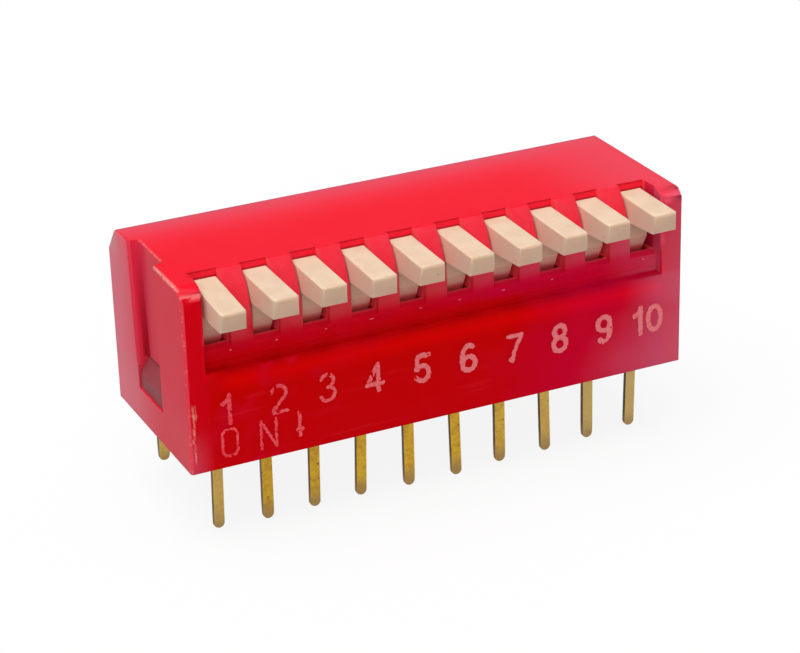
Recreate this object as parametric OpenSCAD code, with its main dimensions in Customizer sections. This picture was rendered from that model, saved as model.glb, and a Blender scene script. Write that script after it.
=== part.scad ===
// Piano DIP switch: a row of side-worked rocker levers in a snap-together housing,
// with two rows of flat pins for a through-hole board.
// X runs along the row of levers, +Y points to the back of the housing and +Z up.
// The origin is the centre of the pin field, on the plane that seats on the board.

/* [Switch] */
// Number of switch positions
positions = 10; // [2:1:12]
// Spacing of the levers and of the pins along the row
pitch = 2.54; // [2.5:0.01:2.6]
// Distance between the front and the back row of pins
row_gap = 7.62; // [7.6:0.01:7.8]

/* [Housing] */
// Height of the housing above the board
housing_h = 9.4; // [9.3:0.05:10]
// Housing in front of the front row of pins
front_margin = 1.74; // [1.7:0.01:1.8]
// Housing behind the back row of pins
back_margin = 0.59; // [0.55:0.01:1]
// Housing beyond the first and last half pitch
end_margin = 0.65; // [0.6:0.01:1]
// Thickness of the end walls
end_wall = 0.9; // [0.85:0.05:1]
// Thickness of the upper back wall
back_wall = 0.8; // [0.6:0.05:1]
// Depth of the bevel along the top back edge
bevel_y = 1.2; // [0.5:0.1:1.4]
// Height of the bevel along the top back edge
bevel_z = 1.5; // [0.5:0.1:1.6]
// Radius of the top front corner of the end cheeks
cheek_r = 0.9; // [0.3:0.1:1.2]
// Radius of the moulded outer edges
edge_r = 0.16; // [0.05:0.01:0.2]

/* [Front recess and lever slots] */
// Depth of the recess behind the front face
recess_depth = 0.63; // [0.5:0.01:0.7]
// Height of the lip below the recess
lip_h = 5; // [4.5:0.1:5.2]
// Radius of the tooth fronts between the levers
tooth_r = 4.1; // [3.8:0.1:4.5]
// Height at which the tooth fronts start to curve back
tooth_curve_z = 6.5; // [6.2:0.1:6.7]
// Width of a lever slot
slot_w = 1.6; // [1.45:0.01:1.7]
// Height of the sill of a lever slot
slot_sill = 5.85; // [5.6:0.05:6]
// From the front face back to the end of a lever slot
slot_reach = 2.1; // [1.9:0.01:2.2]
// Thickness of the wall below the slots
front_wall = 0.35; // [0.35:0.01:0.45]

/* [End latches] */
// Depth of the guide channel in the left end face
channel_depth = 0.57; // [0.3:0.01:0.6]
// Front edge of the channel and the latch windows
channel_front = -2; // [-2.5:0.05:-1]
// Back edge of the channel and the latch windows
channel_back = 1.15; // [0.5:0.05:2]
// Lower edge of the latch windows
window_low = 1.75; // [1.2:0.05:2]
// Upper edge of the latch windows
window_high = 3.4; // [3:0.05:3.6]

/* [Levers] */
// Width of a lever nose
nose_w = 1.28; // [1:0.01:1.4]
// Height of a lever nose at its front
nose_h = 1; // [0.8:0.05:1.1]
// Reach of a lever nose in front of the front face
nose_reach = 1.7; // [1:0.05:2]
// Depth of the nose top below the housing top
nose_drop = 0.4; // [0.3:0.05:0.5]
// Radius of the edges round a nose
nose_edge = 0.15; // [0.05:0.01:0.15]
// Width of a lever below and behind its nose
web_w = 1.05; // [0.9:0.01:1.1]
// Travel of a lever from OFF to ON, in degrees
throw_angle = 20; // [10:1:20]
// Diameter of the trunnions
trunnion_d = 0.9; // [0.6:0.05:1]

/* [Contacts and pins] */
// Radius about the pivot at which the wipers run
wiper_r = 4.2; // [4.1:0.01:4.25]
// Thickness of a wiper
wiper_t = 0.12; // [0.08:0.01:0.15]
// Width of a wiper
wiper_w = 0.8; // [0.6:0.05:0.9]
// Thickness of the terminal sheet
sheet_t = 0.25; // [0.2:0.01:0.3]
// Width of a contact pad and of a pin inside the base
pad_w = 0.9; // [0.7:0.05:1]
// Width of a pin below the base
pin_w = 0.56; // [0.4:0.01:0.65]
// Length of the longest front pin below the housing
front_pin_l = 4.35; // [2.8:0.05:4.5]
// Length of the longest back pin below the housing
back_pin_l = 4.15; // [2.5:0.05:4.5]

/* [Hidden] */
$fn = 48;
past = 1;

// Outline of the housing
half_l = positions * pitch / 2 + end_margin;
y_front = -row_gap / 2 - front_margin;
y_back = row_gap / 2 + back_margin;
y_tooth = y_front + recess_depth;
y_slot = y_front + slot_reach;
y_wall = y_tooth + front_wall;
recess_half_l = (positions - 1) * pitch / 2 + slot_w / 2;
pocket_half_l = half_l - end_wall;
lip_r = 0.3;
recess_fillet_r = 0.3;
sill_t = 0.15;
sill_rise = 0.25;

// Guide channel: lean of its back wall in degrees, its roundings, and how far its front wall slants
channel_lean = 3.5;
channel_round = 0.27;
channel_slant = 0.3;
channel_low = (window_low + window_high) / 2;

// Rocker: its pivot, and the roof that stops it at both ends of its travel
y_pivot = y_front + 4.2;
z_pivot = 6.5;
stop_r = 2.05;
stop_gap = 0.05;
z_roof = z_pivot + stop_r + stop_gap;
bay_w = web_w + 0.2;
bay_back = 1.95;
boss_r = 1;
boss_w = bay_w - 0.06;
seat_depth = 0.2;
bearing_gap = 0.03;
trunnion_l = bay_w + 2 * (seat_depth - 0.02);

// Nose: its top back corner measured from the pivot, its draft and the rounding of its top edges
nose_gap = 0.03;
nose_corner = [y_slot - nose_gap - y_pivot, housing_h - nose_drop - z_pivot];
nose_draft = 0.05;
nose_rim = 0.09;

// Base inside the cover
base_gap = 0.02;
shoulder_z = 3.6;
y_base_back = row_gap / 2 + sheet_t / 2;
y_step = y_back - back_wall;

// Foot of a rocker and the peg that holds its wiper, measured from the pivot
foot_r = 3.1;
foot_half_t = 0.55;
foot_angle = -throw_angle / 2;
peg_d = 0.4;
peg_head_d = 0.66;
peg_head_h = 0.16;

// Wiped track, measured from the pivot; angles grow towards the back
track_gap = 0.03;
track_r = wiper_r + track_gap;
contact_angle = 15.5;
contact_bend_r = 0.22;
front_pad_end = -2;
back_pad = [12, 37];

// Pins
pin_neck_z = 0.5;
well_depth = 0.15;
well_gap = 0.12;

// Unevenness of the made part, one value per position from left to right:
// how far a nose sags in degrees, how much further it reaches, how much a pin is shorter,
// and how far the tip of a front pin leans to the right
nose_sag = [4, 0, 0.4, 1.3, 0.5, 0, 0, 0, 0, 0];
nose_extra = [0.07, 0.25, 0.02, 0.07, -0.02, 0.15, 0.22, 0.09, -0.2, -0.13];
pin_short = [0.29, 0.15, 0.18, 0.18, 0.06, 0, 0.14, 0.14, 0.27, 0.4];
pin_lean = [-0.08, -0.03, -0.07, -0.11, 0, 0.09, 0.02, 0.09, 0, -0.08];

function tag(i) = i < 10 ? str("0", i) : str(i);
function x_at(i) = (i - (positions + 1) / 2) * pitch;
function uneven(list, i) = i <= len(list) ? list[i - 1] : 0;
function names(stem) = [for (i = [1:positions]) str(stem, "_", tag(i))];

// ---- Helpers ----

// Extrude a profile drawn as [y, z] along X, centred on x = 0
module along_x(width) {
    rotate([90, 0, 90])
        linear_extrude(width, center = true)
            children();
}

// Extrude a profile drawn as [x, z] towards +Y, from y = from
module along_y(from, depth) {
    translate([0, from + depth, 0])
        rotate([90, 0, 0])
            linear_extrude(depth)
                children();
}

module at_position(i) {
    translate([x_at(i), 0, 0])
        children();
}

module at_pivot(i) {
    translate([x_at(i), y_pivot, z_pivot])
        children();
}

// Place a profile drawn about the pivot into the [y, z] plane
module at_pivot_2d() {
    translate([y_pivot, z_pivot])
        children();
}

// Rectangle between two corners
module rect(low, high) {
    translate(low)
        square(high - low);
}

// Round the outer corners of a profile
module rounded(r) {
    offset(r = r, $fn = 24)
        offset(delta = -r)
            children();
}

// What a quarter circle leaves of a square corner; toward points from the corner inwards
module corner_piece(corner, toward, r) {
    difference() {
        translate([corner.x + min(0, toward.x * r), corner.y + min(0, toward.y * r)])
            square(r);
        translate(corner + toward * r)
            circle(r);
    }
}

function polar(r, angle) = [r * sin(angle), -r * cos(angle)];
function turned(v, a) = [v.x * cos(a) - v.y * sin(a), v.x * sin(a) + v.y * cos(a)];

// Outline of a strip of even thickness t along a path, with mitred bends
function seg_normal(a, b) = [a.y - b.y, b.x - a.x] / norm(b - a);
function bend_shift(path, i) =
    let (last = len(path) - 1,
         before = seg_normal(path[max(i - 1, 0)], path[max(i, 1)]),
         after = seg_normal(path[min(i, last - 1)], path[min(i + 1, last)]),
         mean = before + after)
    mean * 2 / (mean * mean);
function strip_outline(path, t) = concat(
    [for (i = [0:len(path) - 1]) path[i] + bend_shift(path, i) * t / 2],
    [for (i = [len(path) - 1:-1:0]) path[i] - bend_shift(path, i) * t / 2]
);

// ---- Cover ----

// Section of the closed housing, with the bevel behind and the rounded cheek corner
module housing_section() {
    rounded(edge_r)
        polygon([
            [y_front, -past],
            [y_back, -past],
            [y_back, housing_h - bevel_z],
            [y_back - bevel_y, housing_h],
            [y_front + cheek_r, housing_h],
            [y_front, housing_h - cheek_r]
        ]);
    translate([y_front + cheek_r, housing_h - cheek_r])
        circle(cheek_r);
}

// Closed housing with its moulded edges rounded in all three views; the open rim below stays sharp
module housing_block() {
    intersection() {
        along_x(2 * half_l)
            housing_section();
        along_y(y_front - past, y_back - y_front + 2 * past)
            rounded(edge_r)
                rect([-half_l, -past], [half_l, housing_h]);
        linear_extrude(housing_h)
            rounded(edge_r)
                rect([-half_l, y_front], [half_l, y_back]);
    }
}

// What is cut away between the cheeks: in front of the curved teeth and above the lip
module recess_section() {
    difference() {
        rect([y_front - past, lip_h], [y_slot, housing_h + past]);
        rect([y_tooth, lip_h - past], [y_slot + past, tooth_curve_z]);
        translate([y_tooth + tooth_r, tooth_curve_z])
            circle(tooth_r, $fn = 96);
        corner_piece([y_tooth, lip_h], [-1, 1], recess_fillet_r);
    }
    corner_piece([y_front, lip_h], [1, -1], lip_r);
}

// Recess between the cheeks; the front edges of the cheeks are rounded like the lip
module recess() {
    along_x(2 * recess_half_l)
        recess_section();
    for (end = [-1, 1])
        intersection() {
            linear_extrude(housing_h + past)
                corner_piece([end * recess_half_l, y_front], [end, 1], lip_r);
            along_x(2 * half_l) {
                rect([y_front - past, lip_h], [y_front + lip_r, housing_h + past]);
                corner_piece([y_front, lip_h], [1, -1], lip_r);
            }
        }
}

// Room for the base, open below; the wall between the slots is solid above their sill
module base_room_section() {
    rect([y_wall, -past], [y_step, slot_sill - sill_t]);
    rect([y_slot, -past], [y_step, z_pivot]);
    rect([y_step - past, -past], [y_base_back + base_gap, shoulder_z]);
}

// Room behind the ribs, bevelled like the outside
module back_room_section() {
    polygon([
        [y_pivot + bay_back, z_pivot - past],
        [y_step, z_pivot - past],
        [y_step, housing_h - bevel_z - 0.5],
        [y_back - bevel_y - 0.55, z_roof],
        [y_pivot + bay_back, z_roof]
    ]);
}

// Bay of one lever above the pivot line, and its slot to the front and top; the sill of the slot
// slopes down to the front
module lever_bay() {
    along_x(bay_w)
        rect([y_wall, slot_sill - past], [y_pivot + bay_back + past, z_roof]);
    along_x(slot_w)
        polygon([
            [y_front - past, slot_sill],
            [y_tooth, slot_sill],
            [y_wall, slot_sill + sill_rise],
            [y_slot, slot_sill + sill_rise],
            [y_slot, housing_h + past],
            [y_front - past, housing_h + past]
        ]);
}

// Round seat of one lever's trunnions, half of it in the cover and half in the base
module trunnion_seat() {
    translate([0, y_pivot, z_pivot])
        rotate([0, 90, 0])
            cylinder(d = trunnion_d + 2 * bearing_gap, h = bay_w + 2 * seat_depth, center = true);
}

// Latch window through one end wall; end is -1 or 1
module latch_window(end) {
    translate([end > 0 ? pocket_half_l - past : -half_l - past, channel_front, window_low])
        cube([end_wall + 2 * past, channel_back - channel_front, window_high - window_low]);
}

// Guide channel in the left end face, open at the top, that leads the latch to its window
module guide_channel() {
    channel_front_part();
    intersection() {
        channel_back_part();
        along_x(2 * half_l + 2 * past)
            polygon([
                [channel_front + channel_slant, channel_low],
                [channel_back, channel_low],
                [channel_back, window_high - 0.45],
                [channel_back + past, window_high + past],
                [channel_back + past, housing_h + past],
                [channel_front + channel_slant, housing_h + past]
            ]);
    }
}

// Front part of the channel, with a slanted front wall
module channel_front_part() {
    middle = (channel_front + channel_back) / 2;
    slope = channel_slant / channel_depth;
    translate([-half_l, channel_front, channel_low])
        linear_extrude(housing_h)
            polygon([
                [-past, -past * slope],
                [channel_depth, channel_slant],
                [channel_depth, middle - channel_front],
                [-past, middle - channel_front]
            ]);
}

// Back part of the channel; its back wall leans back, and is rounded into the floor and the end face
module channel_back_part() {
    translate([-half_l, channel_back, window_high])
        rotate([-channel_lean, 0, 0])
            linear_extrude(3 * housing_h, center = true) {
                difference() {
                    rect([-past, channel_front - channel_back + channel_slant], [channel_depth, 0]);
                    corner_piece([channel_depth, 0], [-1, -1], channel_round);
                }
                corner_piece([0, 0], [1, 1], channel_round);
                rect([-past, 0], [0, channel_round]);
            }
}

module cover() {
    color([0.86, 0.07, 0.13])
    difference() {
        housing_block();
        recess();
        along_x(2 * pocket_half_l)
            base_room_section();
        along_x(2 * pocket_half_l)
            back_room_section();
        for (i = [1:positions])
            at_position(i) {
                lever_bay();
                trunnion_seat();
            }
        guide_channel();
        latch_window(-1);
        latch_window(1);
    }
}

// ---- Base ----

// Section of the base: bearing wall in front, stepped down behind
module base_section() {
    polygon([
        [y_wall + base_gap, 0],
        [y_base_back, 0],
        [y_base_back, shoulder_z - base_gap],
        [y_pivot + bay_back + 2.2, shoulder_z - base_gap],
        [y_pivot + bay_back, z_pivot - base_gap],
        [y_slot + base_gap, z_pivot - base_gap],
        [y_slot + base_gap, slot_sill - sill_t - base_gap],
        [y_wall + base_gap, slot_sill - sill_t - base_gap]
    ]);
}

// Hook at one end that snaps into the latch window, upright below and sloping inwards above;
// end is -1 or 1
module latch_hook(end) {
    gap = 0.05;
    face = pocket_half_l - base_gap;
    along_y(channel_front + gap, channel_back - channel_front - 2 * gap)
        polygon([
            [end * (face - past), window_low + gap],
            [end * (half_l - 2 * gap), window_low + gap],
            [end * (half_l - 2 * gap), channel_low],
            [end * (half_l - channel_depth), window_high - gap],
            [end * (face - past), window_high - gap]
        ]);
}

// Bay of one lever in the base: the round track its wiper runs along, open to the back
module base_bay() {
    along_x(bay_w) {
        at_pivot_2d()
            circle(track_r, $fn = 96);
        rect([y_pivot, shoulder_z - base_gap], [y_base_back + past, z_pivot]);
    }
}

// Shallow well in the underside round one pin
module pin_well(y) {
    translate([-pin_w / 2 - well_gap, y - sheet_t / 2 - well_gap, -past])
        cube([pin_w + 2 * well_gap, sheet_t + 2 * well_gap, past + well_depth]);
}

module base() {
    color([0.3, 0.07, 0.08])
    difference() {
        union() {
            along_x(2 * (pocket_half_l - base_gap))
                base_section();
            latch_hook(-1);
            latch_hook(1);
        }
        for (i = [1:positions])
            at_position(i) {
                base_bay();
                trunnion_seat();
                front_terminal_body(front_pin_l);
                back_terminal_body(back_pin_l);
                pin_well(-row_gap / 2);
                pin_well(row_gap / 2);
            }
    }
}

// ---- Levers ----

// Nose in side view, measured from the pivot; it sags about its top back edge
module nose_side(sag, extra) {
    rise = 0.25;
    reach = nose_length(extra);
    root = slot_reach - nose_gap - 1.1;
    rounded(nose_edge)
        polygon([
            nose_corner,
            nose_corner + turned([-reach, -nose_draft], sag),
            nose_corner + turned([-reach + nose_draft, -nose_draft - nose_h], sag),
            nose_corner + turned([-root, -nose_draft - nose_h - rise], sag),
            nose_corner - [0, nose_draft + nose_h + rise]
        ]);
}

// Nose block, with its upright front edges and its long top edges rounded too
module nose(sag, extra) {
    span = 2 * (housing_h + row_gap);
    intersection() {
        along_x(nose_w)
            nose_side(sag, extra);
        rotate([sag, 0, 0])
            linear_extrude(span, center = true)
                rounded(nose_edge)
                    rect([-nose_w / 2, y_front - nose_reach - extra - y_pivot + nose_top_shift(sag)],
                         [nose_w / 2, 0]);
        translate([0, nose_corner.x, nose_corner.y])
            rotate([sag + atan(nose_draft / nose_length(extra)), 0, 0])
                along_y(-span / 2, span)
                    rounded(nose_rim)
                        rect([-nose_w / 2, -span / 2], [nose_w / 2, 0]);
    }
}
function nose_length(extra) = slot_reach - nose_gap + nose_reach + extra;
function nose_top_shift(sag) = (housing_h - nose_drop - z_pivot) * sin(sag);

// Web, rocker stops and foot in side view, measured from the pivot
module web_side() {
    root = y_front + 1.1 - y_pivot;
    shoulder = y_slot - 0.3 - y_pivot;
    ridge = stop_r * tan(throw_angle / 2);
    heel = 1.7;
    heel_z = stop_r - (heel - ridge) * tan(throw_angle);
    across = foot_half_t * [cos(foot_angle), sin(foot_angle)];
    rounded(nose_edge)
        polygon([
            [root, 1.9],
            [root, 0.25],
            [root + 0.5, -0.8],
            [-1.45, -1.2],
            polar(foot_r, foot_angle) - across,
            polar(foot_r, foot_angle) + across,
            [0.75, -0.9],
            [heel, 0.9],
            [heel, heel_z],
            [ridge, stop_r],
            [shoulder, stop_r],
            [shoulder, 1.9]
        ]);
}

// Peg below the foot, with the head that holds the wiper
module foot_peg() {
    rotate([foot_angle, 0, 0])
        translate([0, 0, -foot_r - wiper_t - 0.01]) {
            cylinder(d = peg_d, h = wiper_t + 0.2);
            translate([0, 0, -peg_head_h])
                cylinder(d = peg_head_d, h = peg_head_h);
        }
}

module lever(i) {
    color([0.93, 0.86, 0.74])
    at_pivot(i) {
        nose(uneven(nose_sag, i), uneven(nose_extra, i));
        along_x(web_w)
            web_side();
        rotate([0, 90, 0]) {
            cylinder(r = boss_r, h = boss_w, center = true);
            cylinder(d = trunnion_d, h = trunnion_l, center = true);
        }
        foot_peg();
    }
}

// ---- Wipers ----

// Half of the bent wiper from its middle outwards; x is along the track, y away from the pivot
function wiper_half() =
    let (bend = (wiper_r - wiper_t / 2 - contact_bend_r) * [sin(contact_angle), cos(contact_angle)])
    concat(
        [[0.62, foot_r + wiper_t / 2]],
        [for (a = [-60:22:72]) bend + contact_bend_r * [sin(a), cos(a)]]
    );

function wiper_path() =
    let (half = wiper_half(), n = len(half))
    concat([for (k = [n - 1:-1:0]) [-half[k].x, half[k].y]], half);

module wiper(i) {
    color([0.85, 0.66, 0.32])
    at_pivot(i)
        rotate([foot_angle, 0, 0])
            difference() {
                along_x(wiper_w)
                    mirror([0, 1])
                        polygon(strip_outline(wiper_path(), wiper_t));
                translate([0, 0, -foot_r - past])
                    cylinder(d = peg_d + 0.02, h = 2 * past);
            }
}

// ---- Terminals ----

// Contact pad: the stretch of the track between two angles
module pad_side(from, to) {
    reach = track_r + 2;
    at_pivot_2d()
        intersection() {
            difference() {
                circle(track_r + sheet_t, $fn = 96);
                circle(track_r, $fn = 96);
            }
            polygon([[0, 0], polar(reach, from), polar(reach, to)]);
        }
}

// Pin in front view: a wide neck held in the base above a narrow leg with a round tip
module pin_front(length, lean, top) {
    tip = [lean, pin_w / 2 - length];
    polygon(strip_outline([[0, pin_neck_z + sheet_t], [0, 0], tip], pin_w));
    translate(tip)
        circle(d = pin_w);
    rect([-pad_w / 2, pin_neck_z], [pad_w / 2, top]);
}

// Front terminal about x = 0: the pin runs up to the track and turns back under the wiper
module front_terminal_body(length, lean = 0) {
    y_leg = -row_gap / 2;
    leg_angle = -asin((y_pivot - y_leg) / (track_r + sheet_t / 2));
    difference() {
        along_y(y_leg - sheet_t / 2, sheet_t)
            pin_front(length, lean, z_pivot - track_r * cos(leg_angle) + past);
        along_x(2)
            at_pivot_2d()
                circle(track_r, $fn = 96);
    }
    along_x(pad_w)
        pad_side(leg_angle, front_pad_end);
}

// Back terminal about x = 0: the pin turns forward inside the base to its pad in the track
module back_terminal_body(length) {
    y_leg = row_gap / 2;
    run_end = [y_pivot, z_pivot] + polar(track_r, back_pad[1]);
    along_y(y_leg - sheet_t / 2, sheet_t)
        pin_front(length, 0, run_end.y);
    along_x(pad_w) {
        rect([run_end.x, run_end.y - sheet_t], [y_leg + sheet_t / 2, run_end.y]);
        pad_side(back_pad[0], back_pad[1]);
    }
}

module front_terminal(i) {
    color([0.8, 0.62, 0.25])
    at_position(i)
        front_terminal_body(front_pin_l - uneven(pin_short, i), uneven(pin_lean, i));
}

module back_terminal(i) {
    color([0.8, 0.62, 0.25])
    at_position(i)
        back_terminal_body(back_pin_l - uneven(pin_short, i));
}

// ---- Assembly ----

cover();
base();
for (i = [1:positions]) {
    lever(i);
    wiper(i);
    front_terminal(i);
    back_terminal(i);
}
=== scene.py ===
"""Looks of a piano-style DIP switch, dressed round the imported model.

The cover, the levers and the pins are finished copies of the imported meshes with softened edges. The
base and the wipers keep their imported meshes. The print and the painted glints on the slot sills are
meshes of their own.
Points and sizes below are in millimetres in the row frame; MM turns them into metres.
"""

import math
import random

import bmesh
import bpy
import numpy as np
from mathutils import Matrix, Vector, noise


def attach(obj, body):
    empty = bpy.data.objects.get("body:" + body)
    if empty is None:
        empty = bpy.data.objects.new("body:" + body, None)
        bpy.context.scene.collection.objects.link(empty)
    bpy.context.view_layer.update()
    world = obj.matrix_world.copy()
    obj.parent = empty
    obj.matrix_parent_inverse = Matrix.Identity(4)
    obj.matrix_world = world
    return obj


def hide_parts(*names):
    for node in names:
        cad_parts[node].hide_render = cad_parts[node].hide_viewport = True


MM = 0.001
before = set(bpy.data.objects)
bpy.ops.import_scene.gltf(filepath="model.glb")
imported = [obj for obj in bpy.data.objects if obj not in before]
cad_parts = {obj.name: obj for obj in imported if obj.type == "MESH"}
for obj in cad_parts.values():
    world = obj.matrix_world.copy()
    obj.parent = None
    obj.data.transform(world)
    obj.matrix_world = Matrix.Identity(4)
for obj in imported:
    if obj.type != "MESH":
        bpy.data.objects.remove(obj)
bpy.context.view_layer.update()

PITCH = 2.54
POSITIONS = range(1, 11)
# The housing: half its length, its height, the height of its lip, and how thick its end walls are
HALF_L = 13.35
HOUSING_H = 9.4
LIP_H = 5.0
END_WALL = 0.9
# Front face, faces of the teeth between the levers, and backs of the lever slots
Y_FRONT, Y_TOOTH, Y_SLOT = -5.55, -4.92, -3.45
# Half the length of the recess in the front, and the floor of the guide channel in the left end
RECESS_X, CHANNEL_X = 12.23, -12.78
# Front and back edges of the channel and the latch windows, and the lower edge of the windows
CHANNEL_FRONT, CHANNEL_BACK, WINDOW_LOW = -2.0, 1.15, 1.75
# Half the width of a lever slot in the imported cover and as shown, and the height of its sill
SLOT_HALF_W, SLOT_SHOWN, SLOT_SILL = 0.8, 0.70, 5.85
FLOOR_Z = -4.35


def x_at(i):
    return (i - 5.5) * PITCH


def tag(i):
    return f"{i:02d}"


# ---- Nodes ----


class Nodes:
    """Short ways to build a node tree. A value is a number, a colour or another node's output."""

    def __init__(self, tree):
        self.tree = tree
        tree.nodes.clear()

    def plug(self, socket, value):
        """Link value into socket if it is another node's output, or set it."""
        if isinstance(value, bpy.types.NodeSocket):
            self.tree.links.new(value, socket)
        elif isinstance(value, (tuple, list)) and len(value) == 3 and socket.type == "RGBA":
            socket.default_value = (*value, 1)
        else:
            socket.default_value = value

    def add(self, kind, settings=None, inputs=None):
        node = self.tree.nodes.new(kind)
        for key, value in (settings or {}).items():
            setattr(node, key, value)
        for key, value in (inputs or {}).items():
            self.plug(node.inputs[key], value)
        return node

    def math(self, operation, a, b=0.0, clamp=False):
        settings = {"operation": operation, "use_clamp": clamp}
        return self.add("ShaderNodeMath", settings, {0: a, 1: b}).outputs[0]

    def absolute(self, value):
        return self.math("ABSOLUTE", value)

    def inverse(self, mask):
        return self.math("SUBTRACT", 1.0, mask)

    def times(self, first, *factors):
        for factor in factors:
            first = self.math("MULTIPLY", first, factor)
        return first

    def plus(self, first, *terms):
        for term in terms:
            first = self.math("ADD", first, term)
        return first

    def largest(self, first, *masks):
        for mask in masks:
            first = self.math("MAXIMUM", first, mask)
        return first

    def sway(self, noise_value, width):
        """Noise around 0.5 turned into a shift around 0, width wide at most."""
        return self.times(self.math("SUBTRACT", noise_value, 0.5), width)

    def ramp(self, value, low, high, to_low=0.0, to_high=1.0):
        """Smooth step of value from low to high; low may be the larger one."""
        inputs = {
            "Value": value,
            "From Min": low,
            "From Max": high,
            "To Min": to_low,
            "To Max": to_high,
        }
        node = self.add("ShaderNodeMapRange", {"interpolation_type": "SMOOTHSTEP"}, inputs)
        return node.outputs["Result"]

    def near(self, value, at, reach):
        """1 where value is at, falling to 0 within reach on both sides."""
        return self.ramp(self.absolute(self.math("SUBTRACT", value, at)), reach, 0.0)

    def mix(self, factor, a, b, blend="MIX"):
        settings = {"data_type": "RGBA", "blend_type": blend}
        return self.add("ShaderNodeMix", settings, {0: factor, 6: a, 7: b}).outputs[2]

    def seen(self):
        """1 for what the camera sees directly, in a reflection or through glass."""
        path = self.add("ShaderNodeLightPath").outputs
        return self.largest(
            path["Is Camera Ray"], path["Is Glossy Ray"], path["Is Transmission Ray"]
        )


class Looks(Nodes):
    """A material, with its surface's place in millimetres (x, y, z) and direction (nx, ny, nz)."""

    def __init__(self, name):
        self.material = bpy.data.materials.new(name)
        self.material.use_nodes = True
        super().__init__(self.material.node_tree)
        coords = self.add("ShaderNodeTexCoord").outputs
        self.at = self.moved("MULTIPLY", coords["Object"], (1 / MM,) * 3)
        self.x, self.y, self.z = self.add("ShaderNodeSeparateXYZ", inputs={0: self.at}).outputs
        turned = self.add("ShaderNodeSeparateXYZ", inputs={0: coords["Normal"]})
        self.nx, self.ny, self.nz = turned.outputs

    def moved(self, operation, vector, by):
        settings = {"operation": operation}
        return self.add("ShaderNodeVectorMath", settings, {0: vector, 1: by}).outputs[0]

    def noise(self, per_mm, detail=3.0, rough=0.5, stretch=(1, 1, 1), shift=0.0):
        """Noise around 0.5, per_mm features a millimetre, drawn out where stretch is below 1."""
        at = self.at
        if stretch != (1, 1, 1):
            at = self.moved("MULTIPLY", at, stretch)
        if shift:
            at = self.moved("ADD", at, (shift, shift * 0.7, shift * 1.3))
        inputs = {"Vector": at, "Scale": per_mm, "Detail": detail, "Roughness": rough}
        return self.add("ShaderNodeTexNoise", inputs=inputs).outputs["Fac"]

    def by_height(self, stops):
        """Colour that changes with z through stops (z in millimetres, colour)."""
        share = self.math("DIVIDE", self.z, HOUSING_H)
        node = self.add("ShaderNodeValToRGB", inputs={0: share})
        elements = node.color_ramp.elements
        while len(elements) < len(stops):
            elements.new(0.5)
        # All places come before the colours, because the ramp sorts its elements by place
        for element, (at, color) in zip(elements, stops):
            element.position = at / HOUSING_H
        for element, (at, color) in zip(elements, stops):
            element.color = (*color, 1)
        return node.outputs[0]

    def finish(self, color, roughness, height, bump, distance, **constant):
        """Principled shader with a bump distance mm high; constant names its fixed sockets."""
        shader = self.add(
            "ShaderNodeBsdfPrincipled", inputs={"Base Color": color, "Roughness": roughness}
        )
        for key, value in constant.items():
            shader.inputs[key.replace("_", " ")].default_value = value
        inputs = {"Strength": bump, "Distance": distance * MM, "Height": height}
        self.plug(shader.inputs["Normal"], self.add("ShaderNodeBump", inputs=inputs).outputs[0])
        self.add("ShaderNodeOutputMaterial", inputs={"Surface": shader.outputs[0]})
        return self.material


# ---- Materials ----


class CoverLooks(Looks):
    """The cover's material, with the noises and masks that its regions share."""

    def __init__(self):
        super().__init__("red_plastic")
        self.cloud = self.noise(0.35, detail=2)
        self.grain = self.noise(9, detail=3, rough=0.6)
        self.mottle = self.noise(2.4, detail=4, rough=0.6, shift=2)
        self.flakes = self.noise(3.6, detail=5, rough=0.65)
        self.fine = self.noise(7, detail=3, shift=11)
        self.off_middle = self.absolute(self.x)
        self.aside = self.absolute(self.nx)
        self.frontal = self.ramp(self.ny, -0.5, -0.9)
        self.ahead = self.ramp(self.y, -4.55, -4.7)


def cover_body(m):
    """Back and underside, inside of the slots, and the front from its foot to the teeth, with painted
    light and shade.
    """
    body = m.mix(m.ramp(m.mottle, 0.3, 0.7), (0.86, 0.016, 0.040), (0.88, 0.034, 0.066))
    # Inside of the slots is painted brighter than the body: painted light where the slots lie in
    # shade
    slot_inside_lit = m.mix(m.ramp(m.z, 6.3, 5.9), (0.95, 0.08, 0.10), (0.97, 0.035, 0.060))
    # The front's colour by height is painted light and shade: a painted highlight just below the lip,
    # painted shade on the ledge behind it, and a painted pinkish sheen high on the teeth
    front = m.by_height(
        [
            (0.5, (0.740, 0.0006, 0.0040)),
            (2.5, (0.745, 0.0006, 0.0018)),
            (3.7, (0.755, 0.0005, 0.0008)),
            (4.4, (0.915, 0.0003, 0.0004)),
            (4.7, (0.810, 0.0003, 0.0004)),
            (4.93, (0.500, 0.0003, 0.0010)),
            (5.05, (0.540, 0.0003, 0.0016)),
            (5.25, (0.720, 0.0003, 0.0030)),
            (5.40, (0.790, 0.0004, 0.0070)),
            (5.70, (0.750, 0.0006, 0.0130)),
            (6.0, (0.765, 0.0040, 0.0240)),
            (6.5, (0.770, 0.0550, 0.0750)),
        ],
    )
    color = m.mix(m.ramp(m.y, -3.2, -3.35), body, slot_inside_lit)
    return m.mix(m.ahead, color, front)


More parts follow.
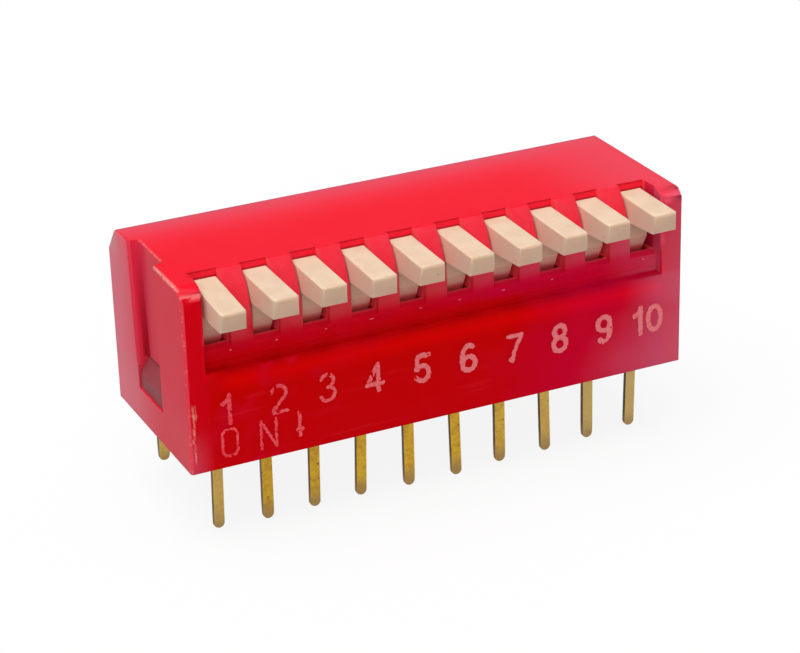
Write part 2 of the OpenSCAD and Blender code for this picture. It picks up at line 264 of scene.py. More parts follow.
def cover_front(m, color):
    """Patches of the front, its cheeks, and the backs and ends of the recess, with painted light on
    the slot backs and painted shade on the recess ends.
    """
    # Pinkish clouds on the left, and a crimson cast to the right
    blush = m.times(
        m.frontal,
        m.ahead,
        m.ramp(m.noise(0.5, detail=3, shift=9), 0.48, 0.66),
        m.ramp(m.x, -3.0, -9.0, 0.15, 0.8),
    )
    color = m.mix(blush, color, (0.79, 0.002, 0.024))
    rightward = m.plus(
        m.x,
        m.ramp(m.z, 4.0, 3.0, 0.0, 1.5),
        m.ramp(m.z, 5.2, 5.6, 0.0, 5.0),
        m.sway(m.cloud, 3.0),
    )
    crimson = m.times(m.ahead, m.ramp(rightward, 3.5, 8.5))
    color = m.mix(crimson, color, (0.0, 0.0003, 0.027), blend="ADD")
    # The painted highlight band below the lip is taken back near the left end
    highlight_band_end = m.times(
        m.ahead, m.ramp(m.x, -11.0, -12.3), m.ramp(m.z, 3.6, 4.2), m.ramp(m.z, 5.0, 4.9)
    )
    color = m.mix(highlight_band_end, color, (0.72, 0.0008, 0.004))
    cheeks = m.times(m.ahead, m.ramp(m.off_middle, 12.2, 12.3))
    color = m.mix(cheeks, color, (0.775, 0.0010, 0.0100))
    # The backs of the slots are painted bright red: painted light on walls that the noses shade
    slot_back = m.times(m.frontal, m.near(m.y, Y_SLOT, 0.1), m.ramp(m.z, 6.3, 8.6))
    # A rough dark line along the top of each slot's back, and painted shade below it
    seam = m.largest(
        m.near(m.plus(m.z, m.sway(m.flakes, 0.12)), 9.33, 0.08),
        m.ramp(m.z, 9.04, 8.98),
    )
    back = m.mix(m.times(seam, 0.75), (0.97, 0.022, 0.050), (0.42, 0.001, 0.020))
    color = m.mix(slot_back, color, back)
    # The ends of the recess are painted darker: painted shade
    recess_end_shade = m.times(
        m.ramp(m.aside, 0.5, 0.9), m.ramp(m.y, -3.6, -3.8), m.near(m.off_middle, RECESS_X, 0.2)
    )
    return m.mix(recess_end_shade, color, (0.64, 0.014, 0.055))


def cover_top(m, color):
    """Top with a painted pale sheen that grows to the right and towards the back, duller at the edge
    of the bevel, and tops of the teeth with a painted sheen.
    """
    # Painted pale sheen on the top, growing towards the back and the right
    top = m.mix(m.ramp(m.y, -0.5, 2.5), (0.91, 0.0078, 0.026), (0.895, 0.030, 0.062))
    top = m.mix(m.ramp(m.x, 6.0, 13.3), top, (0.84, 0.052, 0.088))
    top = m.mix(m.ramp(m.y, 1.3, 3.0), top, (0.80, 0.064, 0.102))
    strip = m.times(m.ramp(m.y, 2.75, 3.1), m.ramp(m.mottle, 0.3, 0.6, 0.7, 1.0))
    top = m.mix(strip, top, (0.62, 0.082, 0.128))
    upward = m.times(m.ramp(m.nz, 0.55, 0.92), m.ramp(m.z, 6.2, 6.6))
    color = m.mix(upward, color, top)
    tooth = m.times(
        m.ramp(m.nz, 0.10, 0.4),
        m.ramp(m.nz, 0.92, 0.7),
        m.ramp(m.y, -3.3, -3.6),
        m.ramp(m.z, 6.4, 6.7),
    )
    # A painted pinkish sheen on the teeth's curved fronts, over their mottled red
    tooth_sheen = m.mix(m.mottle, (0.90, 0.016, 0.040), (0.92, 0.060, 0.095))
    return m.mix(tooth, color, tooth_sheen)


def cover_dust(m, color):
    """Painted pale reflection towards the right end of the front and low at its left end."""
    sheen_edge = m.plus(m.x, m.sway(m.cloud, 2.5), m.ramp(m.z, 0.6, 4.0, 0.0, -1.6))
    # The painted reflection sets in further right on the painted highlight band below the lip
    lit_band = m.times(m.ramp(m.z, 2.8, 4.0), m.ramp(m.z, 5.2, 4.9))
    front_sheen = m.plus(
        m.times(m.ramp(sheen_edge, 7.0, 14.2), m.inverse(lit_band)),
        m.times(m.ramp(m.x, 9.8, 13.6), lit_band),
    )
    front_sheen = m.times(m.ramp(m.nz, 0.9, 0.6), m.ahead, front_sheen)
    left_sheen = m.times(m.ahead, m.ramp(m.x, -12.0, -13.4), m.ramp(m.z, 2.6, 0.6), 0.5)
    return m.mix(m.plus(front_sheen, left_sheen), color, (0.03, 0.115, 0.185), blend="ADD")


def cover_ends(m, color):
    """Ends with a painted pinkish sheen, also round the front edge, and the guide channel with
    painted shade in its back corner and on its rear wall.
    """
    # Painted pinkish sheen on the ends, growing towards the back, paler on the bevel
    low_end = m.mix(m.ramp(m.y, -2.2, 4.2), (0.869, 0.082, 0.1125), (0.91, 0.215, 0.274))
    high_end = m.mix(m.ramp(m.y, -1.0, 4.2), (0.869, 0.062, 0.092), (0.91, 0.205, 0.265))
    ends = m.mix(m.ramp(m.z, 1.5, 4.0), low_end, high_end)
    # Painted shade on the channel floor in the corner by its rear wall
    corner_shade = m.times(
        m.near(m.x, CHANNEL_X, 0.17), m.ramp(m.y, 0.0, 1.0), m.ramp(m.y, 1.6, 1.4)
    )
    ends = m.mix(corner_shade, ends, (0.80, 0.035, 0.085))
    bevel_end = m.times(m.ramp(m.y, 2.6, 3.9), m.ramp(m.z, 7.6, 8.6))
    ends = m.mix(bevel_end, ends, (0.77, 0.30, 0.33))
    flat_end = m.times(m.ramp(m.aside, 0.72, 0.97), m.ramp(m.y, -5.4, -5.3))
    round_end = m.times(
        m.ramp(m.x, -13.18, -13.24), m.ramp(m.y, -5.30, -5.36), m.ramp(m.nz, 0.5, 0.2)
    )
    on_end = m.times(m.largest(flat_end, round_end), m.ramp(m.off_middle, 12.6, 12.75))
    color = m.mix(on_end, color, ends)
    # The channel's rear wall is painted dark crimson: painted shade
    channel_wall_shade = m.times(
        m.ramp(m.ny, -0.15, -0.6), m.ramp(m.x, -12.6, -12.75), m.ramp(m.y, -2.4, -2.2)
    )
    wall_shade = m.mix(m.ramp(m.x, -13.0, -13.3), (0.80, 0.030, 0.075), (0.66, 0.040, 0.080))
    return m.mix(channel_wall_shade, color, wall_shade)


def cover_wear(m, color):
    """Faint wiping streaks along the front, and pale edges broken up by noise: rubbed wear, and
    painted highlights on the rounded edges.
    """
    streak = m.noise(2.2, detail=4, stretch=(0.12, 1, 1.6))
    streaks = m.times(
        m.frontal, m.ahead, m.ramp(m.z, 4.0, 3.6), m.ramp(streak, 0.60, 0.74, 0, 0.06)
    )
    color = m.mix(streaks, color, (0.95, 0.10, 0.16))

    jagged = m.plus(m.z, m.sway(m.flakes, 0.35))
    # Painted highlight along the rounded top left edge
    top_edge_glint = m.times(
        m.near(m.x, -HALF_L + 0.04, 0.16),
        m.near(jagged, HOUSING_H - 0.06, 0.14),
        m.ramp(m.y, -1.7, -1.95),
        m.ramp(m.fine, 0.32, 0.48, 0.25, 1.0),
    )
    channel_edge = m.times(
        m.near(m.x, CHANNEL_X, 0.12),
        m.near(m.z, HOUSING_H, 0.16),
        m.ramp(m.y, 1.5, 1.2),
        m.ramp(m.y, -1.8, -1.5),
        m.ramp(m.fine, 0.38, 0.52),
        0.6,
    )
    # Rubbed flakes with a painted highlight on the rounding of the front left corner
    corner = m.times(
        m.near(m.x, -HALF_L + 0.06, 0.14),
        m.near(m.y, Y_FRONT + 0.06, 0.14),
        m.ramp(m.noise(4.5, detail=4, rough=0.7, shift=6), 0.52, 0.66),
        0.6,
    )
    # Pale streaks near the left edge of the front: painted highlights
    wander = m.plus(m.x, m.sway(m.mottle, 0.35))
    streak_glints = m.times(
        m.largest(
            m.near(wander, -13.08, 0.09),
            m.times(m.near(wander, -12.97, 0.06), m.ramp(m.z, 2.6, 3.0)),
        ),
        m.frontal,
        m.ahead,
        m.ramp(m.z, 3.7, 3.3),
        m.ramp(m.z, 0.4, 0.9),
        m.ramp(m.noise(3.0, detail=4, rough=0.6, shift=3), 0.36, 0.52, 0.25, 0.9),
    )
    # Painted highlight along the cheek's rounded top
    cheek_glint = m.times(
        m.near(m.plus(m.z, m.sway(m.flakes, 0.16)), 9.0, 0.20),
        m.ramp(m.y, -5.2, -5.3),
        m.ramp(m.x, -12.2, -12.35),
        m.ramp(m.aside, 0.6, 0.4),
        m.ramp(m.fine, 0.36, 0.5, 0.6, 1.0),
        0.6,
    )
    # Rubbed wear and painted highlights, laid on together
    worn_and_glinting = m.largest(top_edge_glint, channel_edge, corner, streak_glints, cheek_glint)
    return m.mix(m.times(worn_and_glinting, 0.85), color, (1.0, 0.38, 0.34))


def cover_material():
    m = CoverLooks()
    color = cover_body(m)
    color = cover_front(m, color)
    color = cover_top(m, color)
    color = m.mix(m.ramp(m.grain, 0.45, 0.8, 0, 0.05), color, (0.98, 0.06, 0.10))
    color = cover_dust(m, color)
    color = cover_ends(m, color)
    color = cover_wear(m, color)
    uneven = m.plus(m.times(m.cloud, 0.5), m.times(m.grain, 0.5))
    return m.finish(
        color,
        m.ramp(uneven, 0.25, 0.75, 0.36, 0.48),
        m.plus(m.grain, m.times(m.noise(1.2, detail=2, shift=5), 1.5)),
        bump=0.25,
        distance=0.008,
        Specular_IOR_Level=0.02,
        Subsurface_Weight=0.5,
        Subsurface_Scale=0.9 * MM,
        Subsurface_Radius=(1.0, 0.10, 0.10),
    )


def base_material():
    m = Looks("dark_base_plastic")
    grain = m.noise(7, detail=3)
    color = m.mix(m.ramp(m.noise(0.8), 0.3, 0.7), (0.26, 0.034, 0.045), (0.32, 0.05, 0.06))
    color = m.mix(m.ramp(grain, 0.55, 0.8, 0, 0.25), color, (0.38, 0.10, 0.11))
    roughness = m.ramp(grain, 0.3, 0.7, 0.42, 0.58)
    return m.finish(color, roughness, grain, bump=0.25, distance=0.01, Specular_IOR_Level=0.12)


def lever_material():
    m = Looks("cream_plastic")
    cloud = m.noise(0.9, detail=3)
    grain = m.noise(8, detail=3, rough=0.6)
    color = m.mix(m.ramp(cloud, 0.35, 0.65), (0.80, 0.592, 0.407), (0.86, 0.657, 0.470))
    color = m.mix(m.ramp(grain, 0.35, 0.8, 0, 0.30), color, (0.88, 0.62, 0.452))

    # Sides and front are painted a little darker than the top, as painted shade; the front is redder
    # low down, painted red light where the cover shines on it
    sideways = m.ramp(m.absolute(m.nx), 0.7, 0.95)
    color = m.mix(m.times(sideways, 0.8), color, (0.815, 0.635, 0.480))
    frontal = m.ramp(m.ny, -0.7, -0.95)
    shaded_front = m.mix(m.ramp(m.z, 8.75, 8.15), (0.700, 0.500, 0.350), (0.680, 0.430, 0.310))
    color = m.mix(m.times(frontal, 0.5), color, shaded_front)

    # Yellowish and pinkish blotches
    blotch = m.ramp(m.noise(4.5, detail=4, rough=0.65, shift=13), 0.36, 0.64)
    tint = m.mix(blotch, (0.98, 1.00, 0.97), (1.01, 0.94, 1.00))
    color = m.mix(1.0, color, tint, blend="MULTIPLY")

    # The nose's left front edge is painted duller than its faces, as painted shade; the right and
    # bottom ones carry a painted pinkish highlight
    nose = m.ramp(m.y, -4.6, -4.9)
    level = m.ramp(m.absolute(m.nz), 0.5, 0.2)
    left_edge_shade = m.times(nose, level, m.ramp(m.nx, -0.2, -0.5), m.ramp(m.ny, -0.2, -0.5))
    color = m.mix(m.times(left_edge_shade, 0.7), color, (0.56, 0.44, 0.32))
    front_rim_glint = m.times(
        nose,
        m.ramp(m.ny, -0.15, -0.4),
        m.largest(m.ramp(m.nx, 0.15, 0.5), m.ramp(m.nz, -0.15, -0.5)),
    )
    color = m.mix(m.times(front_rim_glint, 0.8), color, (0.97, 0.60, 0.50))

    # The root is painted redder downwards: painted red light from the walls of its slot, where it
    # lies in shade
    low = m.plus(m.z, m.sway(cloud, 0.2))
    glow = m.times(m.ramp(m.y, -2.9, -3.4), m.ramp(low, 7.0, 6.3))
    color = m.mix(m.times(glow, 0.8), color, (0.99, 0.48, 0.40))
    deep_red_light = m.times(m.ramp(m.y, -2.9, -3.4), m.ramp(low, 6.45, 6.05))
    color = m.mix(deep_red_light, color, (0.99, 0.13, 0.14))

    specks = m.times(m.ramp(m.noise(5.0, detail=1, shift=7), 0.775, 0.80), 0.45)
    color = m.mix(specks, color, (0.32, 0.18, 0.11))
    return m.finish(
        color,
        m.ramp(cloud, 0.3, 0.7, 0.36, 0.48),
        grain,
        bump=0.25,
        distance=0.008,
        Specular_IOR_Level=0.15,
        Subsurface_Weight=0.5,
        Subsurface_Scale=0.6 * MM,
        Subsurface_Radius=(1.0, 0.5, 0.35),
    )


def pin_material(name, bright, dull, gray):
    """Thin gold over brass: mottled, stained, brownish near the tips, and orange near the cover, a
    painted reflection of the red cover.
    """
    m = Looks(name)
    cloud = m.noise(1.3, detail=4, rough=0.6, stretch=(1, 1, 0.6))
    blots = m.noise(4.2, detail=4, rough=0.6, shift=8)
    fine = m.noise(9, detail=3, stretch=(1, 1, 0.25))
    patches = m.plus(m.times(cloud, 0.4), m.times(blots, 0.6))
    color = m.mix(m.ramp(patches, 0.40, 0.62), bright, dull)
    # The outer pins are greyer than those in the middle
    worn = m.largest(m.ramp(m.x, -10.2, -11.0, 0, 0.6), m.ramp(m.x, 1.0, 11.0))
    color = m.mix(m.times(worn, 0.8), color, gray)
    tip = m.times(m.ramp(m.z, -2.9, -4.1), 0.8)
    color = m.mix(tip, color, (0.30, 0.19, 0.085))
    stain = m.ramp(m.noise(2.6, detail=3, rough=0.7, shift=4), 0.62, 0.72)
    color = m.mix(m.times(stain, 0.8), color, (0.12, 0.065, 0.015))
    # Painted reflection of the red cover on the pins just below it
    color = m.mix(m.ramp(m.z, -0.55, -0.1), color, (0.62, 0.22, 0.08))
    return m.finish(
        color,
        m.ramp(m.plus(m.times(cloud, 0.5), m.times(fine, 0.5)), 0.3, 0.7, 0.26, 0.50),
        m.plus(fine, m.times(cloud, 0.8)),
        bump=0.35,
        distance=0.012,
        Metallic=0.9,
        Specular_IOR_Level=0.1,
    )


def wiper_material():
    m = Looks("spring_metal")
    rolled = m.noise(6, detail=3, stretch=(1, 0.15, 0.15))
    color = m.mix(m.ramp(m.noise(1.5), 0.35, 0.65), (0.72, 0.50, 0.22), (0.60, 0.42, 0.19))
    roughness = m.ramp(rolled, 0.3, 0.7, 0.25, 0.40)
    return m.finish(color, roughness, rolled, bump=0.2, distance=0.006, Metallic=1.0)


def ink_material():
    m = Looks("pale_ink")
    cloud = m.noise(4.5, detail=4, rough=0.6)
    grain = m.noise(11, detail=2, shift=17)
    strength = m.plus(m.ramp(m.x, -13.5, 4.0, 0.10, 0.85), m.sway(cloud, 1.4), m.sway(grain, 1.6))
    share = m.math("ADD", strength, 0.0, clamp=True)
    color = m.mix(share, (1.0, 0.045, 0.070), (1.0, 0.26, 0.28))
    roughness = m.ramp(cloud, 0.3, 0.7, 0.45, 0.65)
    return m.finish(color, roughness, cloud, bump=0.3, distance=0.006, Specular_IOR_Level=0.1)


# Pale pinkish red for the painted glints on the slot sills
def grain_material():
    m = Looks("painted_glint")
    cloud = m.noise(12, detail=2)
    color = m.mix(m.ramp(cloud, 0.3, 0.7), (0.93, 0.22, 0.26), (1.0, 0.286, 0.338))
    return m.finish(color, 0.4, cloud, bump=0.2, distance=0.004, Specular_IOR_Level=0.3)


RED = cover_material()
DARK = base_material()
CREAM = lever_material()
PIN_FACE = pin_material(
    "gold_plating", (0.62, 0.38, 0.030), (0.46, 0.25, 0.030), (0.50, 0.35, 0.145)
)
# The pins' sides, their cut edges, are painted far darker than their faces: painted shade
PIN_SIDE_SHADE = pin_material(
    "shaded_cut_edge_metal", (0.055, 0.028, 0.009), (0.035, 0.016, 0.006), (0.05, 0.035, 0.015)
)
SPRING = wiper_material()
INK = ink_material()
GLINT = grain_material()


def show(name, data):
    """A new object in the scene, for a mesh, a camera or a lamp."""
    piece = bpy.data.objects.new(name, data)
    bpy.context.scene.collection.objects.link(piece)
    return piece


def to_mesh(name, bm):
    mesh = bpy.data.meshes.new(name)
    bm.to_mesh(mesh)
    bm.free()
    return mesh


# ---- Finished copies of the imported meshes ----

# Degrees within which a plane counts as flat, and above which an edge is drawn sharp
FLAT, CREASE = 0.5, 50


def finished(
    node, body, soft, keep, materials, pick=None, sharp=30, shortest=0.0, move=None
):
    """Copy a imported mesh, soften its edges where keep(point) is true, and let it stand for node.

    soft is the width of the softened edges in millimetres; edges flatter than sharp degrees or
    shorter than shortest stay as they are. pick(normal) gives a face's material, and move(point)
    shifts a corner. The work is done in millimetres, as Blender's edge tools need sizes near one.
    """
    bm = bmesh.new()
    bm.from_mesh(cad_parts[node].data)
    bmesh.ops.scale(bm, vec=(1 / MM,) * 3, verts=bm.verts)
    bmesh.ops.remove_doubles(bm, verts=bm.verts, dist=1e-4)
    bmesh.ops.dissolve_limit(bm, angle_limit=math.radians(FLAT), verts=bm.verts, edges=bm.edges)
    if move:
        for v in bm.verts:
            move(v.co)
    low = [min(v.co[k] for v in bm.verts) for k in range(3)]
    high = [max(v.co[k] for v in bm.verts) for k in range(3)]
    edges = [
        e
        for e in bm.edges
        if e.is_manifold
        and e.calc_face_angle() > math.radians(sharp)
        and e.calc_length() > shortest
        and all(keep(v.co) for v in e.verts)
    ]
    bmesh.ops.bevel(
        bm,
        geom=edges,
        offset=soft,
        offset_type="OFFSET",
        segments=2,
        profile=0.5,
        affect="EDGES",
        clamp_overlap=False,
        loop_slide=True,
        miter_outer="ARC",
    )
    bmesh.ops.remove_doubles(bm, verts=bm.verts, dist=2e-4)
    for v in bm.verts:
        v.co = [min(max(c, a), b) for c, a, b in zip(v.co, low, high)]
    for face in bm.faces:
        face.smooth = True
        face.material_index = pick(face.normal) if pick else 0
    mesh = to_mesh(f"finished_{node}", bm)
    piece = show(f"finished_{node}", mesh)
    mesh.set_sharp_from_angle(angle=math.radians(CREASE))
    piece.modifiers.new("weighted", "WEIGHTED_NORMAL").keep_sharp = True
    shaped = bpy.data.meshes.new_from_object(
        piece.evaluated_get(bpy.context.evaluated_depsgraph_get())
    )
    piece.modifiers.clear()
    piece.data = shaped
    shaped.transform(Matrix.Scale(MM, 4))
    picked = [polygon.material_index for polygon in shaped.polygons]
    shaped.materials.clear()
    for material in materials:
        shaped.materials.append(material)
    shaped.polygons.foreach_set("material_index", picked)
    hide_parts(node)
    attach(piece, body)


def repaint(node, material):
    for material_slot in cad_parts[node].material_slots:
        material_slot.material = material


def soft_corner(point):
    """Whether the cover's edges are softened here: front, top, recess, channel and windows."""
    recess = point.y < Y_SLOT - 0.1 and point.z > LIP_H - 0.1
    end = (
        abs(point.x) > HALF_L - END_WALL - 0.02
        and CHANNEL_FRONT - 0.05 < point.y < CHANNEL_BACK + 0.05
        and point.z > WINDOW_LOW - 0.05
    )
    return recess or end or point.y < Y_FRONT + 0.01 or point.z > HOUSING_H - 0.2


def narrow_slot(point):
    """Bring the sides of the lever slots closer to the noses; the outer sides of the row stay."""
    if Y_TOOTH - 0.01 < point.y < Y_SLOT + 0.01 and point.z > SLOT_SILL - 0.05:
        for i in POSITIONS:
            away = point.x - x_at(i)
            if abs(abs(away) - SLOT_HALF_W) < 0.01 and abs(point.x) < RECESS_X - 0.03:
                point.x = x_at(i) + math.copysign(SLOT_SHOWN, away)
                return


finished(
    "cover",
    "housing",
    soft=0.045,
    keep=soft_corner,
    materials=[RED],
    shortest=0.08,
    move=narrow_slot,
)
repaint("base", DARK)
for i in POSITIONS:
    finished(
        f"lever_{tag(i)}",
        f"rocker_{tag(i)}",
        soft=0.095,
        keep=lambda point: True,
        materials=[CREAM],
        sharp=60,
        shortest=0.2,
    )
    repaint(f"wiper_{tag(i)}", SPRING)
    for row in ("front", "back"):
        finished(
            f"{row}_terminal_{tag(i)}",
            "housing",
            soft=0.04,
            keep=lambda point: point.z < 0.4,
            materials=[PIN_FACE, PIN_SIDE_SHADE],
            pick=lambda normal: 1 if abs(normal.y) < 0.9 else 0,
        )


# ---- Print on the front ----


def arc(cx, cy, rx, ry, start, end, steps=14):
    """Points of an ellipse's arc; angles in degrees, counterclockwise from +x."""
    turn = np.radians(np.linspace(start, end, steps))
    return [(cx + rx * math.cos(t), cy + ry * math.sin(t)) for t in turn]


# Middle lines of the strokes, for a height of 1; x starts at 0
GLYPHS = {
    "0": [arc(0.29, 0.5, 0.22, 0.42, 0, 360, 32)],
    "1": [[(0.30, 0.04), (0.30, 0.96)], [(0.09, 0.70), (0.20, 0.75), (0.30, 0.92)]],
    "2": [arc(0.29, 0.70, 0.21, 0.23, 170, -35) + [(0.12, 0.17), (0.07, 0.07), (0.52, 0.07)]],
    "3": [arc(0.27, 0.71, 0.19, 0.21, 160, -80), arc(0.27, 0.29, 0.22, 0.22, 85, -160)],
    "4": [[(0.55, 0.27), (0.05, 0.27), (0.40, 0.93), (0.40, 0.04)]],
    "5": [[(0.50, 0.93), (0.15, 0.93), (0.10, 0.50)] + arc(0.29, 0.33, 0.21, 0.26, 140, -155)],
    "6": [arc(0.30, 0.31, 0.21, 0.24, 0, 360, 28), arc(0.31, 0.50, 0.235, 0.43, 195, 60)],
    "7": [[(0.05, 0.92), (0.51, 0.93), (0.36, 0.62), (0.25, 0.32), (0.20, 0.06), (0.13, 0.11)]],
    "8": [arc(0.29, 0.73, 0.18, 0.20, 0, 360, 28), arc(0.29, 0.29, 0.215, 0.235, 0, 360, 28)],
    "9": [arc(0.28, 0.69, 0.21, 0.24, 0, 360, 28), arc(0.27, 0.50, 0.235, 0.43, 15, -120)],
    "O": [
        arc(0.34, 0.76, 0.17, 0.17, 0, 90, 8)
        + arc(0.24, 0.76, 0.17, 0.17, 90, 180, 8)
        + arc(0.24, 0.24, 0.17, 0.17, 180, 270, 8)
        + arc(0.34, 0.24, 0.17, 0.17, 270, 360, 8)
        + [(0.51, 0.76)]
    ],
    "N": [[(0.06, 0.04), (0.06, 0.96), (0.52, 0.04), (0.52, 0.96)]],
    "down": [[(0.20, 0.97), (0.20, 0.06)], [(0.11, 0.30), (0.20, 0.20), (0.29, 0.30)]],
}
# Width of the cells in which ink is laid, its thickness, and the blank space round a field of ink
INK_CELL, INK_T, INK_MARGIN = 0.027, 0.008, 0.25
# A glyph's width when its height is 1, and how much the glyphs are drawn out sideways
GLYPH_W, GLYPH_STRETCH = 0.58, 1.07
# Sway of a stroke's edge: features a millimetre, and width in millimetres
COARSE, FINE = (7, 0.036), (16, 0.040)


def stroke_distance(points, path):
    """Distance of each point to a polyline."""
    nearest = np.full(len(points), 1e9)
    for a, b in zip(path[:-1], path[1:]):
        a, b = np.array(a), np.array(b)
        along = b - a
        share = np.clip((points - a) @ along / max(along @ along, 1e-12), 0, 1)
        nearest = np.minimum(nearest, np.linalg.norm(points - (a + share[:, None] * along), axis=1))
    return nearest


def cut_cell(corners, values):
    """The part of a square cell where the field is above 0, as a polygon, or None."""
    out = []
    for k in range(4):
        a, b = corners[k], corners[(k + 1) % 4]
        va, vb = values[k], values[(k + 1) % 4]
        if va > 0:
            out.append(a)
        if (va > 0) != (vb > 0):
            t = va / (va - vb)
            out.append((a[0] + (b[0] - a[0]) * t, a[1] + (b[1] - a[1]) * t))
    return out if len(out) > 2 else None


def printed(name, glyphs, x, z, height, stroke, worn, seed, step=0.53):
    """Ink of the glyphs on the front, centred on (x, z): uneven strokes with gaps where worn."""
    wide = step * (len(glyphs) - 1) + GLYPH_W * GLYPH_STRETCH
    nx = int((wide * height + 2 * INK_MARGIN) / INK_CELL)
    nz = int((height + 2 * INK_MARGIN) / INK_CELL)
    xs = -INK_MARGIN + INK_CELL * np.arange(nx + 1)
    zs = -INK_MARGIN + INK_CELL * np.arange(nz + 1)
    grid = np.array([(u, v) for v in zs for u in xs])

    def noise_at(per_mm, shift):
        return np.array([noise.noise(Vector((u * per_mm, v * per_mm, shift))) for u, v in grid])

    field = np.full(len(grid), -1e9)
    for k, glyph in enumerate(glyphs):
        for path in GLYPHS[glyph]:
            scaled = [((px * GLYPH_STRETCH + k * step) * height, py * height) for px, py in path]
            field = np.maximum(field, stroke / 2 - stroke_distance(grid, scaled))
    uneven = noise_at(COARSE[0], seed * 3.7)
    ragged = noise_at(FINE[0], seed * 5.3)
    blots = noise_at(4.5, 50 + seed)
    field += COARSE[1] * uneven + FINE[1] * ragged
    # Gaps where the ink is thin
    field = np.minimum(field, (0.62 - worn - np.abs(uneven) * 0.35 + blots * 0.9) * 0.25)
    field = field.reshape(nz + 1, nx + 1)
    bm = bmesh.new()
    cache = {}

    def vertex(u, v):
        key = (round(u, 5), round(v, 5))
        if key not in cache:
            cache[key] = bm.verts.new((key[0], 0, key[1]))
        return cache[key]

    for j in range(nz):
        for i in range(nx):
            values = (field[j, i], field[j, i + 1], field[j + 1, i + 1], field[j + 1, i])
            if max(values) <= 0:
                continue
            corners = [(xs[a], zs[b]) for a, b in ((i, j), (i + 1, j), (i + 1, j + 1), (i, j + 1))]
            polygon = cut_cell(corners, values)
            if polygon is None:
                continue
            ring = list(dict.fromkeys(vertex(*point) for point in polygon))
            if len(ring) > 2 and bm.faces.get(ring) is None:
                bm.faces.new(ring)
    bmesh.ops.dissolve_degenerate(bm, dist=1e-4, edges=bm.edges)
    bmesh.ops.dissolve_limit(bm, angle_limit=0.01, verts=bm.verts, edges=bm.edges)
    lifted = bmesh.ops.extrude_face_region(bm, geom=list(bm.faces))
    for element in lifted["geom"]:
        if isinstance(element, bmesh.types.BMVert):
            element.co.y -= INK_T
    bmesh.ops.recalc_face_normals(bm, faces=bm.faces)
    bmesh.ops.triangulate(bm, faces=[f for f in bm.faces if len(f.verts) > 4])
    shift = Vector((x - wide * height / 2, Y_FRONT + 0.002, z - height / 2))
    for v in bm.verts:
        v.co = (v.co + shift) * MM
    mesh = to_mesh(name, bm)
    mesh.materials.append(INK)
    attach(show(name, mesh), "housing")


# The print sits a little askew: shift to the right and height of each number's middle. A scratch
# script solved this list, and the places of O, N and the arrow below, from measured offsets to the
# photograph, and wrote them here.
DIGIT_AT = [
    (0.158, 3.012),
    (0.151, 2.949),
    (0.154, 2.978),
    (0.073, 2.940),
    (0.074, 2.834),
    (0.046, 2.827),
    (0.083, 2.796),
    (0.031, 2.765),
    (0.016, 2.703),
    (-0.035, 2.692),
]
# The first numbers are thinner and more worn than the rest
for i, (shift, z) in zip(POSITIONS, DIGIT_AT):
    bold = min(1.0, max(0.0, (i - 3.0) / 3))
    stroke = {1: 0.20, 2: 0.17, 3: 0.18, 7: 0.21}.get(i, 0.20 + 0.06 * bold)
    printed(
        f"print_{tag(i)}",
        list(str(i)),
        x_at(i) + shift,
        z,
        height=1.60 - 0.06 * bold,
        stroke=stroke,
        worn=0.20 * (1 - bold),
        seed=i,
    )
printed("print_letter_o", ["O"], -11.32, 1.27, height=1.62, stroke=0.13, worn=0.12, seed=21)
printed("print_letter_n", ["N"], -9.34, 1.27, height=1.58, stroke=0.13, worn=0.12, seed=22)
printed("print_arrow_down", ["down"], -7.60, 1.39, height=1.35, stroke=0.17, worn=0.10, seed=23)


# ---- Painted glints on the slot sills ----

# Where the painted glints lie at the foot of the slots: x and half the width of each
GLINTS = [
    (-10.8, 0.09),
    (-8.45, 0.10),
    (-5.9, 0.07),
    (-3.5, 0.15),
    (-0.9, 0.08),
    (1.2, 0.10),
    (3.6, 0.14),
    (6.3, 0.10),
    (11.5, 0.08),
]
# Height at which they all lie, half the height of one, and the number of its corners
GLINT_Z, GLINT_HALF_H, GLINT_SIDES = 5.72, 0.03, 9
# How far a glint's rim is sunk into the cover, and how far its face stands proud
SUNK, PROUD = Vector((0, 0.004, 0)), Vector((0, -0.007, 0))


def pale_grains():
    """Flat pale patches with uneven outlines, a hair off the face of the cover: painted glints on the
    slot sills.
    """
    rng = random.Random(4)
    bm = bmesh.new()
    for x, half_w in GLINTS:
        at = Vector((x, Y_TOOTH, GLINT_Z))
        rim, face = [], []
        for k in range(GLINT_SIDES):
            turn = 2 * math.pi * k / GLINT_SIDES
            reach = rng.uniform(0.65, 1.15)
            flat = Vector((half_w * math.cos(turn), 0, GLINT_HALF_H * math.sin(turn))) * reach
            rim.append(bm.verts.new((at + flat + SUNK) * MM))
            face.append(bm.verts.new((at + flat * 0.72 + PROUD) * MM))
        for k in range(GLINT_SIDES):
            n = (k + 1) % GLINT_SIDES
            bm.faces.new((rim[k], rim[n], face[n], face[k]))
        bm.faces.new(face)
        bm.faces.new(rim[::-1])
    mesh = to_mesh("pale_grains", bm)
    mesh.materials.append(GLINT)
    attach(show("pale_grains", mesh), "housing")


pale_grains()


# ---- Camera ----

# Fitted to the photograph
EYE = Vector((-49.931, -108.357, 56.792)) * MM
FORWARD = Vector((0.382572, 0.826124, -0.413711)).normalized()
ROLL = math.radians(-1.6574)
LENS, SENSOR = 116.94, 36


def make_camera():
    camera = show("camera", bpy.data.cameras.new("camera"))
    bpy.context.scene.camera = camera
    camera.data.sensor_fit = "HORIZONTAL"
    camera.data.sensor_width = SENSOR
    camera.data.lens = LENS
    camera.data.clip_start, camera.data.clip_end = 0.01, 10
    level = FORWARD.cross(Vector((0, 0, 1))).normalized()
    right = level * math.cos(ROLL) + level.cross(FORWARD) * math.sin(ROLL)
    up = right.cross(FORWARD)
    turn = Matrix((right, up, -FORWARD)).transposed().to_4x4()
    camera.matrix_world = Matrix.Translation(EYE) @ turn


# ---- Floor and light ----

# Half the floor's width, in metres
FLOOR_HALF = 2.0
# Brightness of the world as light, and as seen
SOFT, WHITE = 0.285, 1.0
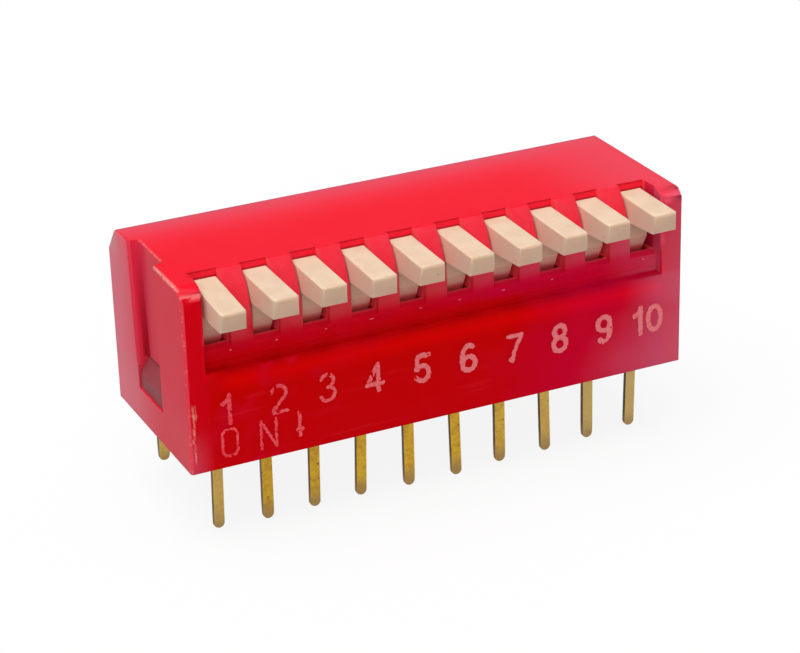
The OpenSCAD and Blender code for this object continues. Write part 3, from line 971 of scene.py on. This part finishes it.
# Name, strength, angle across in degrees and direction of each lamp
SUNS = [
    ("overhead", 2.17, 60, (-0.30, -0.13, 0.945)),
    ("front_fill", 0.76, 40, (-0.35, -0.88, 0.32)),
]


def make_floor():
    """A grey floor that looks nearly white, and keeps the object's shadow."""
    bm = bmesh.new()
    corners = ((-1, -1), (1, -1), (1, 1), (-1, 1))
    bm.faces.new(
        [bm.verts.new((a * FLOOR_HALF, b * FLOOR_HALF, FLOOR_Z * MM)) for a, b in corners]
    )
    mesh = to_mesh("floor", bm)
    material = bpy.data.materials.new("pale_floor")
    material.use_nodes = True
    nodes = Nodes(material.node_tree)
    matte = nodes.add("ShaderNodeBsdfDiffuse", inputs={"Color": (0.38, 0.38, 0.38)}).outputs[0]
    pale = nodes.add("ShaderNodeBsdfDiffuse", inputs={"Color": (0.97, 0.97, 0.97)}).outputs[0]
    white = nodes.add("ShaderNodeEmission", inputs={"Color": (1, 1, 1), "Strength": 1.0})
    shown = nodes.add("ShaderNodeMixShader", inputs={0: 0.88, 1: pale, 2: white.outputs[0]})
    both = nodes.add(
        "ShaderNodeMixShader", inputs={0: nodes.seen(), 1: matte, 2: shown.outputs[0]}
    )
    nodes.add("ShaderNodeOutputMaterial", inputs={"Surface": both.outputs[0]})
    mesh.materials.append(material)
    show("floor", mesh)


def make_light():
    """A soft white world and two wide lamps."""
    world = bpy.data.worlds.new("studio")
    bpy.context.scene.world = world
    world.use_nodes = True
    nodes = Nodes(world.node_tree)
    strength = nodes.plus(nodes.times(nodes.seen(), WHITE - SOFT), SOFT)
    light = nodes.add("ShaderNodeBackground", inputs={"Color": (1, 1, 1), "Strength": strength})
    nodes.add("ShaderNodeOutputWorld", inputs={"Surface": light.outputs[0]})
    for name, energy, wide, towards in SUNS:
        lamp = bpy.data.lights.new(name, "SUN")
        lamp.energy = energy
        lamp.angle = math.radians(wide)
        show(name, lamp).rotation_euler = Vector(towards).to_track_quat("Z", "Y").to_euler()


make_camera()
make_floor()
make_light()
bpy.context.scene.view_settings.view_transform = "Standard"
